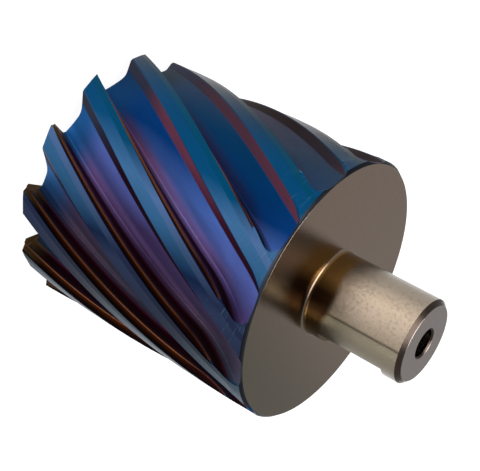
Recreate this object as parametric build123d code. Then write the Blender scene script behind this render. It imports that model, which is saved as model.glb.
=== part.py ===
from build123d import *
from math import cos, degrees, pi, radians, sin, sqrt, tan
import os

# Annular cutter, one solid of hardened steel. It stands on its tooth tips with the shank up,
# and the origin lies on the axis at the height of the tips. All sizes are millimetres.

# Cutter body
cutter_diameter = 60.0
body_height = 63.4
core_diameter = 48.0
web_thickness = 10.4
core_corner_radius = 1.5
back_chamfer = 0.65

# Shank
shank_diameter = 19.05
shank_length = 23.5
shank_base_fillet = 0.8
shank_end_chamfer = 1.0
pilot_bore_diameter = 6.35
pilot_mouth_chamfer = 0.4

# Flats for the clamping screws. Below and above them the shank stays round.
flat_count = 2
flat_depth = 1.3
flat_start = 3.7
flat_end_clearance = 4.3
first_flat_angle = 251.6
flat_spacing_angle = 90.0

# Teeth and lands. Lengths here and in the flutes follow the outside of the cutter, and the
# cutting corners stand at multiples of the tooth pitch.
tooth_count = 12
helix_angle = 29.6
land_width = 4.66
margin_width = 1.65
land_relief = 0.15

# Flutes, with depths measured in from the outside of the cutter
rake_lean = 0.1
ledge_depth = 1.7
ledge_width = 0.35
ledge_corner_radius = 0.22
inner_rake_lean = 0.27
floor_depth = 4.6
floor_corner_radius = 1.2
floor_hollow = 0.44
trailing_wall_depth = 1.8
trailing_wall_run = 1.78

# Flute run-out towards the back
runout_length = 15.2
runout_radius = 17.8
runout_slant = 40.4

# Cutting ends of the teeth
corner_height = 1.3
tip_inset = 2.6
inner_bevel_angle = 13.0
end_relief_angle = 12.5

# Gullets between the cutting ends
gullet_peak_height = 3.9
gullet_peak_distance = 6.4
gullet_root_height = 1.7
gullet_back_angle = 28.4
gullet_peak_radius = 2.5
gullet_root_radius = 0.5

# Sizes that follow from the ones above
outer_radius = cutter_diameter / 2
core_radius = core_diameter / 2
shank_radius = shank_diameter / 2
pilot_radius = pilot_bore_diameter / 2
tip_radius = outer_radius - tip_inset
tooth_pitch = pi * cutter_diameter / tooth_count
pitch_angle = 360 / tooth_count
helix_slope = tan(radians(helix_angle))
helix_lead = pi * cutter_diameter / helix_slope
overall_height = body_height + shank_length
core_depth = body_height - web_thickness
flat_length = shank_length - flat_start - flat_end_clearance
inner_rake_distance = ledge_corner_radius + ledge_width - rake_lean
inner_rake_foot = inner_rake_distance - inner_rake_lean
seam_angle = first_flat_angle + flat_spacing_angle * (flat_count - 1) / 2 - 180
overcut = 3.0
joint_tolerance = 0.001


# The body, shank, core and pilot bore are turned about one axis. The seam of the turned faces
# lies on the side of the shank that is opposite the flats.
def turned_blank():
    with BuildSketch(Plane.XZ) as section:
        with BuildLine():
            Polyline(
                (core_radius, 0),
                (outer_radius, 0),
                (outer_radius, body_height - back_chamfer),
                (outer_radius - back_chamfer, body_height),
                (shank_radius, body_height),
                (shank_radius, overall_height - shank_end_chamfer),
                (shank_radius - shank_end_chamfer, overall_height),
                (pilot_radius + pilot_mouth_chamfer, overall_height),
                (pilot_radius, overall_height - pilot_mouth_chamfer),
                (pilot_radius, core_depth),
                (core_radius, core_depth),
                close=True,
            )
        make_face()
        base_corner = section.vertices().sort_by_distance((shank_radius, body_height))[0]
        fillet(base_corner, shank_base_fillet)
        core_corner = section.vertices().sort_by_distance((core_radius, core_depth))[0]
        fillet(core_corner, core_corner_radius)
    return Rot(0, 0, seam_angle) * revolve(section.sketch, Axis.Z)


# Height by which the flute has left the body at one point of its outline. The flute leaves
# later the further the point lies ahead of the cutting edge.
def runout_lift(ahead, height):
    start = body_height - runout_length + ahead * tan(radians(runout_slant))
    travel = max(height - start, 0)
    return travel**2 / (2 * runout_radius)


# A point of the flute's outline, at a distance ahead of the cutting edge and a depth below
# the outside, turned with the helix
def flute_point(ahead, depth, height):
    angle = (helix_slope * (height - corner_height) - ahead) / outer_radius
    radius = outer_radius - depth + runout_lift(ahead, height)
    return Vector(radius * cos(angle), radius * sin(angle), height)


# The middle of a quarter turn from one flank to the next, as a share of its radius
quarter_middle = 1 - sqrt(0.5)


# The flute's outline at one height: down the stepped rake wall, across the hollow floor, up the
# trailing wall and along the relieved land of the tooth ahead
def flute_outline(height):
    ledge_root = ledge_depth - ledge_corner_radius
    ledge_start = ledge_corner_radius - rake_lean
    floor_root = floor_depth - floor_corner_radius
    floor_start = inner_rake_foot + floor_corner_radius
    trailing_edge = tooth_pitch - land_width
    trailing_foot = trailing_edge - trailing_wall_run
    margin_start = tooth_pitch - margin_width
    relief_slope = land_relief / (land_width - margin_width)
    exit_run = margin_width / 4
    floor_middle = (floor_start + trailing_foot) / 2
    middle_depth = (floor_depth + trailing_wall_depth) / 2 + floor_hollow

    def at(ahead, depth):
        return flute_point(ahead, depth, height)

    rake_top = at(0, 0)
    ledge_arc_start = at(-rake_lean, ledge_root)
    rake_exit = rake_top + (rake_top - ledge_arc_start) * (exit_run / ledge_root)
    ledge_arc_middle = at(
        quarter_middle * ledge_corner_radius - rake_lean,
        ledge_depth - quarter_middle * ledge_corner_radius,
    )
    ledge_arc_end = at(ledge_start, ledge_depth)
    ledge_corner = at(inner_rake_distance, ledge_depth)
    floor_arc_start = at(inner_rake_foot, floor_root)
    floor_arc_middle = at(
        inner_rake_foot + quarter_middle * floor_corner_radius,
        floor_depth - quarter_middle * floor_corner_radius,
    )
    floor_arc_end = at(floor_start, floor_depth)
    floor_foot = at(trailing_foot, trailing_wall_depth)
    land_edge = at(trailing_edge, land_relief)
    land_exit = at(margin_start + exit_run, -exit_run * relief_slope)
    outside_far = at(margin_start + exit_run, -overcut)
    outside_middle = at(tooth_pitch / 2, -overcut)
    outside_near = at(0, -overcut)
    return Wire(
        [
            Edge.make_line(outside_near, rake_exit),
            Edge.make_line(rake_exit, ledge_arc_start),
            Edge.make_three_point_arc(ledge_arc_start, ledge_arc_middle, ledge_arc_end),
            Edge.make_line(ledge_arc_end, ledge_corner),
            Edge.make_line(ledge_corner, floor_arc_start),
            Edge.make_three_point_arc(floor_arc_start, floor_arc_middle, floor_arc_end),
            Edge.make_three_point_arc(floor_arc_end, at(floor_middle, middle_depth), floor_foot),
            Edge.make_line(floor_foot, land_edge),
            Edge.make_line(land_edge, land_exit),
            Edge.make_line(land_exit, outside_far),
            Edge.make_line(outside_far, outside_middle),
            Edge.make_line(outside_middle, outside_near),
        ]
    )


# One flute as a solid: a twisted prism up to the run-out, then a loft to above the back
def flute_cut():
    bottom = -overcut
    runout_bottom = body_height - runout_length
    top = body_height + overcut / 2
    straight_height = runout_bottom - bottom
    straight = Solid.extrude_linear_with_rotation(
        Face(flute_outline(bottom)),
        Vector(0, 0, bottom),
        Vector(0, 0, straight_height),
        degrees(helix_slope * straight_height / outer_radius),
    )
    steps = 14
    heights = [runout_bottom + (top - runout_bottom) * i / steps for i in range(steps + 1)]
    runout = Solid.make_loft([flute_outline(height) for height in heights])
    return straight.fuse(runout, tol=joint_tolerance)


# A gullet opens the wall ahead of a cutting edge. Its sides point at the cutter's axis, and its
# steep side continues the inner rake wall.
def gullet_cut():
    peak_turn = gullet_peak_distance / outer_radius
    outward = Vector(cos(peak_turn), -sin(peak_turn), 0)
    sideways = Vector(sin(peak_turn), cos(peak_turn), 0)
    rake_bottom = inner_rake_foot + helix_slope * (corner_height + overcut)
    rake_root = inner_rake_foot + helix_slope * (corner_height - gullet_root_height)
    back_run = (gullet_peak_height + overcut) / tan(radians(gullet_back_angle))
    back_bottom = gullet_peak_distance + back_run
    sections = []
    for distance in (core_radius - overcut, outer_radius + overcut):
        corners = [
            (rake_bottom, -overcut),
            (rake_root, gullet_root_height),
            (gullet_peak_distance, gullet_peak_height),
            (back_bottom, -overcut),
        ]
        points = [
            (distance * tan((gullet_peak_distance - ahead) / outer_radius), height)
            for ahead, height in corners
        ]
        with BuildSketch(Plane(outward * distance, x_dir=sideways, z_dir=outward)) as section:
            with BuildLine():
                Polyline(*points, close=True)
            make_face()
            fillet(section.vertices().sort_by_distance(points[2])[0], gullet_peak_radius)
            fillet(section.vertices().sort_by_distance(points[1])[0], gullet_root_radius)
        sections.append(section.sketch)
    return loft(sections, ruled=True)


# The end of a tooth falls back behind its cutting edge in two bevels that meet in the tip
def end_relief_cut():
    tip_turn = (inner_rake_foot + helix_slope * corner_height) / outer_radius
    relief_slope = tan(radians(end_relief_angle))
    corner_rise = corner_height - relief_slope * outer_radius * sin(tip_turn)
    outer_slope = corner_rise / tip_inset
    inner_slope = tan(radians(inner_bevel_angle))
    outside = outer_radius + overcut
    inside = core_radius - overcut
    run_in = overcut
    run_out = land_width + trailing_wall_run
    start = Plane(
        origin=(0, -run_in, -run_in * relief_slope),
        x_dir=(1, 0, 0),
        z_dir=(0, -1, 0),
    )
    with BuildSketch(start) as section:
        with BuildLine():
            Polyline(
                (tip_radius, 0),
                (outside, outer_slope * (outside - tip_radius)),
                (outside, -2 * overcut),
                (inside, -2 * overcut),
                (inside, inner_slope * (tip_radius - inside)),
                close=True,
            )
        make_face()
    travel = Vector(0, 1, relief_slope)
    bevels = extrude(section.sketch, amount=(run_in + run_out) * travel.length, dir=travel)
    return Rot(0, 0, -degrees(tip_turn)) * bevels


# A flat milled straight across the shank
def flat_cut():
    block = Box(
        flat_depth + overcut,
        2 * shank_diameter,
        flat_length,
        align=(Align.MIN, Align.CENTER, Align.MIN),
    )
    return Pos(shank_radius - flat_depth, 0, body_height + flat_start) * block


cutter = turned_blank()
for flat in range(flat_count):
    cutter -= Rot(0, 0, first_flat_angle + flat * flat_spacing_angle) * flat_cut()
for cut in (flute_cut(), gullet_cut(), end_relief_cut()):
    cutter -= [Rot(0, 0, tooth * pitch_angle) * cut for tooth in range(tooth_count)]

cutter.color = Color(0.55, 0.58, 0.62)
os.makedirs("parts", exist_ok=True)
export_step(cutter, "parts/annular_cutter.step")
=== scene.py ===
import math

import bmesh
import bpy
from mathutils import Matrix, Vector

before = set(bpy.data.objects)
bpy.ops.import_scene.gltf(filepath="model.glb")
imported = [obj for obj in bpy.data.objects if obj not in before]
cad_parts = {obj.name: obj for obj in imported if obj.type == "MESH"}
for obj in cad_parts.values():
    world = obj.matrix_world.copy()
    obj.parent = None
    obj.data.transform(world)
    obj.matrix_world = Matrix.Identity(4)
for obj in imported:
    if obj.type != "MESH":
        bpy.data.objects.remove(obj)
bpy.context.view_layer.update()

# Studio. The cutter stands on its teeth on a pale, softly glowing table, as for a catalogue picture.
# The camera looks down on it from the side, tilted so that the shank points to the lower right.
camera_data = bpy.data.cameras.new("studio_camera")
camera_data.sensor_width = 36.0
camera_data.lens = 91.607
camera_data.clip_start = 0.01
camera_data.clip_end = 20.0
camera = bpy.data.objects.new("studio_camera", camera_data)
camera.matrix_world = Matrix(
    (
        (0.566169, 0.149000, -0.810711, -0.217313),
        (0.269774, 0.895867, 0.353050, 0.096398),
        (0.778894, -0.418594, 0.467016, 0.163722),
        (0.0, 0.0, 0.0, 1.0),
    )
)
bpy.context.scene.collection.objects.link(camera)
bpy.context.scene.camera = camera
bpy.context.scene.view_settings.view_transform = "Standard"

table_paint = bpy.data.materials.new("pale_table")
table_paint.use_nodes = True
table_shader = table_paint.node_tree.nodes["Principled BSDF"]
table_shader.inputs["Base Color"].default_value = (0.35, 0.35, 0.35, 1)
table_shader.inputs["Roughness"].default_value = 0.9
table_shader.inputs["Specular IOR Level"].default_value = 0.1
table_shader.inputs["Emission Color"].default_value = (1, 1, 1, 1)
table_shader.inputs["Emission Strength"].default_value = 0.94
table_mesh = bpy.data.meshes.new("studio_table")
table_shape = bmesh.new()
bmesh.ops.create_grid(table_shape, x_segments=1, y_segments=1, size=3.0)
table_shape.to_mesh(table_mesh)
table_shape.free()
table_mesh.materials.append(table_paint)
table = bpy.data.objects.new("studio_table", table_mesh)
bpy.context.scene.collection.objects.link(table)

studio_air = bpy.data.worlds.new("studio_air")
studio_air.use_nodes = True
studio_air.node_tree.nodes["Background"].inputs["Color"].default_value = (0.86, 0.85, 0.85, 1)
studio_air.node_tree.nodes["Background"].inputs["Strength"].default_value = 0.45
bpy.context.scene.world = studio_air

for lamp_name, place, target, width, watts, colour in (
    ("overhead_softbox", (-0.15, 0.20, 0.80), (0, 0, 0.04), 0.60, 4.5, (1.0, 0.98, 0.95)),
    ("low_softbox", (-0.55, -0.42, 0.14), (0, 0, 0.04), 0.36, 5.0, (1.0, 0.97, 0.93)),
):
    lamp_data = bpy.data.lights.new(lamp_name, "AREA")
    lamp_data.shape = "SQUARE"
    lamp_data.size = width
    lamp_data.energy = watts
    lamp_data.color = colour
    lamp = bpy.data.objects.new(lamp_name, lamp_data)
    aim = (Vector(target) - Vector(place)).to_track_quat("-Z", "Y")
    lamp.matrix_world = Matrix.Translation(place) @ aim.to_matrix().to_4x4()
    bpy.context.scene.collection.objects.link(lamp)

# Cutter. One piece of hardened steel, turned, milled and ground. The fluted body carries a thin
# blue and violet coating, and the back face and the shank were ground bright after it.
body_top = 63.4
outer_radius = 30.0
corner_height = 1.3
tooth_pitch_angle = 30.0
helix_angle = 29.6
helix_turn = math.degrees(math.tan(math.radians(helix_angle)) / outer_radius)
runout_start = 48.4
runout_radius = 17.8

coated_steel = bpy.data.materials.new("coated_and_ground_steel")
coated_steel.use_nodes = True
steel_nodes = coated_steel.node_tree.nodes
steel_links = coated_steel.node_tree.links
steel_shader = steel_nodes["Principled BSDF"]


def feed(socket, value):
    if isinstance(value, bpy.types.NodeSocket):
        steel_links.new(value, socket)
    else:
        socket.default_value = value


def reckon(operation, first, second=0.0):
    node = steel_nodes.new("ShaderNodeMath")
    node.operation = operation
    feed(node.inputs[0], first)
    feed(node.inputs[1], second)
    return node.outputs[0]


def plus(first, second):
    return reckon("ADD", first, second)


def minus(first, second):
    return reckon("SUBTRACT", first, second)


def times(first, second):
    return reckon("MULTIPLY", first, second)


# Share from 0 to 1 of the way from one place to another
def between(value, start, end):
    node = steel_nodes.new("ShaderNodeMapRange")
    node.interpolation_type = "SMOOTHSTEP"
    feed(node.inputs["Value"], value)
    node.inputs["From Min"].default_value = start
    node.inputs["From Max"].default_value = end
    return node.outputs["Result"]


# Share that is 1 inside a strip, and falls to 0 on both sides of it
def strip(value, start, full_start, full_end, end):
    return times(between(value, start, full_start), between(value, end, full_end))


# Light as a screen shows it, turned into the light itself
def bare(level):
    share = level / 255
    return ((share + 0.055) / 1.055) ** 2.4 if share > 0.04 else share / 12.92


def shade(colour):
    return tuple(bare(level) for level in colour) + (1.0,)


# A tint that runs through the given colours, each at its own place
def tint_run(value, stops):
    first, last = stops[0][0], stops[-1][0]
    node = steel_nodes.new("ShaderNodeValToRGB")
    ramp = node.color_ramp
    while len(ramp.elements) < len(stops):
        ramp.elements.new(0.5)
    for element, (place, colour) in zip(ramp.elements, stops):
        element.position = (place - first) / (last - first)
        element.color = shade(colour)
    feed(node.inputs["Fac"], reckon("DIVIDE", minus(value, first), last - first))
    return node.outputs["Color"]


def mix(blend, share, under, top):
    node = steel_nodes.new("ShaderNodeMix")
    node.data_type = "RGBA"
    node.blend_type = blend
    for socket, value in zip((node.inputs[0], node.inputs[6], node.inputs[7]), (share, under, top)):
        feed(socket, value)
    return node.outputs[2]


def over(share, under, top):
    return mix("MIX", share, under, top)


def scaled(share, under, factor):
    return mix("MULTIPLY", share, under, (factor, factor, factor, 1.0))


def grain(vector, scale, detail, roughness=0.5):
    node = steel_nodes.new("ShaderNodeTexNoise")
    feed(node.inputs["Vector"], vector)
    node.inputs["Scale"].default_value = scale
    node.inputs["Detail"].default_value = detail
    node.inputs["Roughness"].default_value = roughness
    return node.outputs["Fac"]


def place_of(x, y, z):
    node = steel_nodes.new("ShaderNodeCombineXYZ")
    for socket, value in zip(node.inputs, (x, y, z)):
        feed(socket, value)
    return node.outputs[0]


# Where a point lies on the cutter, in millimetres and degrees: radius, height, turn about the
# axis, and the angle behind the nearest cutting edge
spot = steel_nodes.new("ShaderNodeTexCoord").outputs["Object"]
spot_parts = steel_nodes.new("ShaderNodeSeparateXYZ")
feed(spot_parts.inputs[0], spot)
spot_x = times(spot_parts.outputs["X"], 1000.0)
spot_y = times(spot_parts.outputs["Y"], 1000.0)
height = times(spot_parts.outputs["Z"], 1000.0)
radius = reckon("SQRT", plus(times(spot_x, spot_x), times(spot_y, spot_y)))
turn = times(reckon("ARCTAN2", spot_y, spot_x), 180 / math.pi)
full_turn = reckon("MODULO", plus(turn, 360.0), 360.0)
helix_here = times(minus(height, corner_height), helix_turn)
unwound = plus(minus(turn, helix_here), 720.0)
behind_edge = reckon("MODULO", unwound, tooth_pitch_angle)

# The coating's tint drifts three times round the body, from navy through violet to plum and back,
# with a slight waver. Part of it is the coating's own colour and part is painted light: in each
# cycle the lighter violet stretch is painted reflection and the darker stretch is painted shade. In
# the flutes it lags behind with the height.
drift_cycle = 120.0
drift_start = 92.0
drift_lag_per_height = 0.40
lag_middle_height = 35.0
waver_width = 14.0
waver = times(minus(grain(spot, 28.0, 3.0), 0.5), waver_width)
drift_lag = times(minus(height, lag_middle_height), drift_lag_per_height)
land_turn = plus(minus(turn, drift_start), 720.0)
flute_turn = plus(minus(minus(turn, drift_start), drift_lag), 720.0)
land_drift = plus(reckon("MODULO", land_turn, drift_cycle), waver)
flute_drift = plus(reckon("MODULO", flute_turn, drift_cycle), waver)

# Flute floors: a blue run, a mauve one towards the rake wall, and a cooler one at the front. Along
# the wall the floor lies in the shade of its tooth, so the brighter stretch is lightened there.
# Painted reflection and shade: the floor runs are lighter and more violet near drift 54 to 72,
# darker beyond 80
floor_tint = tint_run(flute_drift, [
    (0, (50, 62, 80)), (20, (2, 54, 92)), (42, (2, 56, 118)), (54, (74, 106, 178)),
    (66, (84, 100, 170)), (80, (66, 52, 96)), (104, (60, 54, 72)), (120, (50, 62, 80)),
])
mauve_tint = tint_run(flute_drift, [
    (0, (46, 46, 60)), (28, (36, 36, 72)), (42, (26, 46, 94)), (52, (104, 70, 110)),
    (62, (128, 112, 172)), (72, (132, 106, 166)), (92, (80, 58, 96)), (104, (86, 70, 92)),
    (120, (46, 46, 60)),
])
front_tint = tint_run(flute_drift, [
    (0, (40, 50, 62)), (20, (4, 36, 62)), (46, (18, 72, 126)), (84, (40, 96, 156)),
    (100, (34, 56, 92)), (120, (40, 50, 62)),
])
lightening = 1.7
painted_corner_shade = 0.5
mauve_share = times(between(behind_edge, 20.0, 27.0), between(height, 60.0, 46.0))
flute_tint = over(mauve_share, floor_tint, mauve_tint)
flute_tint = over(between(height, 15.0, 6.0), flute_tint, front_tint)
light_strip = strip(behind_edge, 20.6, 24.8, 26.9, 28.0)
light_part = times(between(flute_drift, 47.0, 56.0), between(height, 58.0, 44.0))
flute_tint = scaled(times(light_strip, light_part), flute_tint, lightening)
# Painted shade: the floor is darkened in the corner at the foot of the rake wall
flute_tint = scaled(between(behind_edge, 27.2, 28.4), flute_tint, painted_corner_shade)

# The sloped wall behind each land, plum to brown
wall_tint = tint_run(flute_drift, [
    (0, (44, 38, 46)), (42, (108, 58, 80)), (54, (62, 22, 40)), (66, (34, 9, 20)),
    (104, (28, 14, 14)), (120, (44, 38, 46)),
])
wall_front = shade((42, 44, 62))
wall_tint = over(between(height, 24.0, 10.0), wall_tint, wall_front)
flute_tint = over(between(behind_edge, 12.9, 12.1), flute_tint, wall_tint)

# The stepped rake wall, coppery on its ledge, with a painted highlight along the ledge's corner and
# painted dark reflection by the cutting edge. In the run-out the ledge rises with the flute.
rake_rise = reckon("MAXIMUM", minus(height, runout_start), 0.0)
rake_radius = minus(radius, reckon("DIVIDE", times(rake_rise, rake_rise), 2 * runout_radius))
# Painted highlight: the bright stop at 28.25; painted dark reflection: the near-black stops by the
# edge
rake_tint = tint_run(rake_radius, [
    (25.4, (84, 48, 78)), (26.4, (56, 16, 30)), (27.9, (52, 18, 24)), (28.25, (128, 84, 60)),
    (28.4, (92, 50, 28)), (29.2, (46, 20, 8)), (29.9, (14, 7, 4)),
])
rake_front = shade((84, 62, 38))
rake_back = shade((46, 20, 22))
rake_tint = over(between(height, 6.5, 2.5), rake_tint, rake_front)
rake_tint = over(times(between(height, 42.0, 50.0), 0.75), rake_tint, rake_back)
rake_share = plus(between(behind_edge, 28.9, 29.5), between(behind_edge, 0.34, 0.28))
flute_tint = over(rake_share, flute_tint, rake_tint)

# Lands: the relieved part in steel blue, and the polished margin along the cutting edge a little
# different. On one side of the cutter they are darkened towards brown as painted shade.
land_foot_radius = 29.60
land_radius = 29.74
# Painted reflection and shade: the lands are lighter near drift 58 to 70 and darker near 86 to 114
land_tint = tint_run(land_drift, [
    (0, (10, 38, 56)), (24, (0, 60, 98)), (44, (6, 66, 106)), (58, (56, 96, 137)),
    (70, (42, 83, 119)), (86, (14, 27, 54)), (94, (32, 42, 66)), (114, (18, 27, 45)),
    (120, (10, 38, 56)),
])
margin_tint = tint_run(land_drift, [
    (0, (8, 30, 44)), (24, (0, 62, 88)), (49, (3, 64, 98)), (62, (70, 98, 140)),
    (80, (44, 62, 90)), (90, (26, 34, 58)), (114, (16, 23, 38)), (120, (8, 30, 44)),
])
land_tint = over(between(behind_edge, 3.3, 3.0), land_tint, margin_tint)
# Painted shade: the lands on one side of the cutter are darkened towards brown
land_side_shade = shade((26, 20, 20))
shaded_land_side = strip(full_turn, 218.0, 236.0, 260.0, 280.0)
land_tint = over(times(shaded_land_side, 0.8), land_tint, land_side_shade)
on_land = between(radius, land_foot_radius, land_radius)
body_tint = over(on_land, flute_tint, land_tint)

# Fine grinding marks along the helix, faint scuffs on the lands near the back, and a dark rim of
# painted shade where the back face was chamfered
streak_shade = shade((14, 18, 30))
scuff_shade = shade((120, 156, 170))
rim_painted_shade = shade((40, 44, 52))
streak_place = place_of(times(unwound, 0.55), times(height, 0.02), radius)
streaks = grain(streak_place, 6.0, 6.0, 0.6)
body_tint = over(times(between(streaks, 0.50, 0.80), 0.35), body_tint, streak_shade)
scuff_place = place_of(times(turn, 0.03), plus(height, times(turn, 0.12)), 0.0)
scuffs = times(between(grain(scuff_place, 4.0, 3.0), 0.60, 0.68), between(height, 48.0, 60.0))
body_tint = over(times(scuffs, times(on_land, 0.14)), body_tint, scuff_shade)
# Painted shade on the chamfered rim of the back face
body_tint = over(between(height, 62.70, 62.80), body_tint, rim_painted_shade)

# Ground steel of the back face, darker towards one side as painted shade
back_shade_turn = 235.0
fine_grain = grain(spot, 900.0, 4.0, 0.7)
back_light = over(fine_grain, shade((152, 133, 117)), shade((167, 146, 130)))
# Painted shade for the darker side of the back face
back_shaded_side = over(fine_grain, shade((112, 104, 88)), shade((126, 118, 102)))
back_side = reckon("COSINE", times(minus(turn, back_shade_turn), math.pi / 180))
back_tint = over(between(times(radius, back_side), -4.0, 26.0), back_light, back_shaded_side)

# Ground steel of the shank, with its mottle and its fine turning lines. Its tint round the axis is
# painted light and shade: a painted highlight band near 139 degrees, a thin painted dark reflection
# line at 181 degrees, and darker stretches round 60 and 200 degrees.
# Painted light and shade round the axis: highlight band near 139 degrees, dark reflection line at
# 181
shank_tint = tint_run(full_turn, [
    (0, (150, 140, 128)), (60, (105, 98, 86)), (112, (146, 134, 120)), (139, (200, 180, 158)),
    (156, (182, 164, 146)), (178.5, (128, 116, 101)), (181.3, (52, 46, 38)), (184, (104, 98, 84)),
    (222, (110, 104, 92)), (300, (168, 156, 140)), (360, (150, 140, 128)),
])
mottle_shade = shade((96, 84, 72))
lathe_shade = shade((84, 76, 66))
mottle = between(grain(spot, 1500.0, 2.0), 0.46, 0.72)
lathe_lines = grain(place_of(height, radius, times(turn, 0.02)), 5.0, 8.0, 0.75)
shank_tint = over(times(mottle, 0.28), shank_tint, mottle_shade)
shank_tint = over(times(lathe_lines, 0.22), shank_tint, lathe_shade)

# The foot of the shank is tinted gold and brown in a band, a little higher on one side
foot_band_patch = strip(full_turn, 128.0, 162.0, 176.0, 206.0)
foot_band_height = plus(height, minus(times(waver, 0.25), foot_band_patch))
foot_band_share = times(between(foot_band_height, 68.7, 67.1), between(radius, 10.6, 9.7))
foot_band_tint = tint_run(full_turn, [
    (0, (110, 84, 44)), (138, (158, 124, 72)), (158, (58, 40, 24)), (184, (40, 26, 14)),
    (230, (104, 80, 42)), (360, (110, 84, 44)),
])
shank_tint = over(foot_band_share, shank_tint, foot_band_tint)

# The end chamfer of the shank is painted dark as painted shade, and its end face bright
shank_chamfer_start = 85.9
shank_top = 86.9
# Painted shade on the end chamfer
chamfer_painted_shade = shade((78, 68, 62))
end_face_shade = shade((175, 165, 160))
on_end_face = between(height, shank_top - 0.10, shank_top - 0.02)
end_tint = over(on_end_face, chamfer_painted_shade, end_face_shade)
past_chamfer_start = between(height, shank_chamfer_start - 0.04, shank_chamfer_start + 0.04)
shank_tint = over(past_chamfer_start, shank_tint, end_tint)
on_shank = between(radius, 9.9, 9.6)
ground_tint = over(on_shank, back_tint, shank_tint)

# All steel together: the coated body, the ground faces above it, and the dark core
core_radius = 24.0
core_depth = 53.0
core_tint = (0.05, 0.05, 0.055, 1)
is_ground = between(height, body_top - 0.04, body_top - 0.01)
in_core = times(
    between(radius, core_radius + 0.1, core_radius),
    between(height, core_depth + 0.2, core_depth + 0.1),
)
whole_tint = over(in_core, over(is_ground, body_tint, ground_tint), core_tint)
feed(steel_shader.inputs["Base Color"], whole_tint)
steel_shader.inputs["Metallic"].default_value = 1.0

# The coating reflects a little less at a low angle than the bare steel does
coated_edge = (0.75, 0.75, 0.75, 1.0)
bare_edge = (1.0, 1.0, 1.0, 1.0)
feed(steel_shader.inputs["Specular Tint"], over(is_ground, coated_edge, bare_edge))

# The lands are polished, the flutes rougher, and the back face smoother than the shank
in_flute = between(radius, land_radius, 29.50)
coat_roughness = plus(0.24, plus(times(streaks, 0.12), times(in_flute, 0.28)))
ground_roughness = plus(0.10, times(on_shank, 0.13))
roughness_gap = minus(ground_roughness, coat_roughness)
feed(steel_shader.inputs["Roughness"], plus(coat_roughness, times(is_ground, roughness_gap)))
scratch_bump = steel_nodes.new("ShaderNodeBump")
scratch_bump.inputs["Strength"].default_value = 0.12
scratch_bump.inputs["Distance"].default_value = 0.0002
feed(scratch_bump.inputs["Height"], streaks)
feed(steel_shader.inputs["Normal"], scratch_bump.outputs["Normal"])

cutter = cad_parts["annular_cutter"]
cutter.data.materials.clear()
cutter.data.materials.append(coated_steel)
